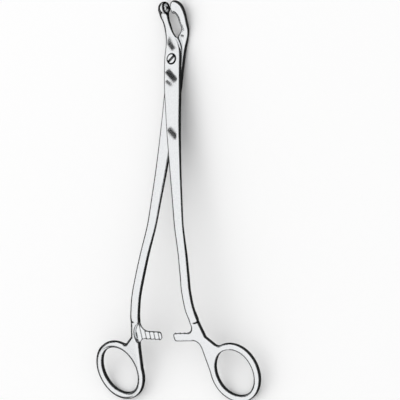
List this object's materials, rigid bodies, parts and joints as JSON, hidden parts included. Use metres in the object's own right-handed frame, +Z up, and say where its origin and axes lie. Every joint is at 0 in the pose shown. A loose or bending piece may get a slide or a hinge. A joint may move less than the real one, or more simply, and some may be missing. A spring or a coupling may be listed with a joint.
{
  "type": "biopsy forceps",
  "caption": "Ring-handled surgical forceps with lapped screw joint, angled handles, ratchet and round cup jaws, lying partly open.",
  "frame": {"origin": "on the surface that the forceps lie on, under the middle of their bounding box", "axes": "+Z up from that surface, +Y along the instrument towards the jaws, +X towards the side of the front half's finger ring"},
  "size_m": [0.105, 0.2138, 0.0228],
  "materials": {
    "polished_steel": "polished stainless steel",
    "screw_steel": "turned and polished stainless steel"
  },
  "bodies": {
    "rear": {"rear_half": "polished_steel", "pivot_screw": "screw_steel"},
    "front": {"front_half": "polished_steel"}
  },
  "joints": [
    {"name": "pivot", "type": "hinge", "parent": "rear", "child": "front", "pos_m": [0, 0.07529, 0.00481], "axis": [0, 0.1293, 0.9916], "range_deg": [-9.2, 22]}
  ]
}
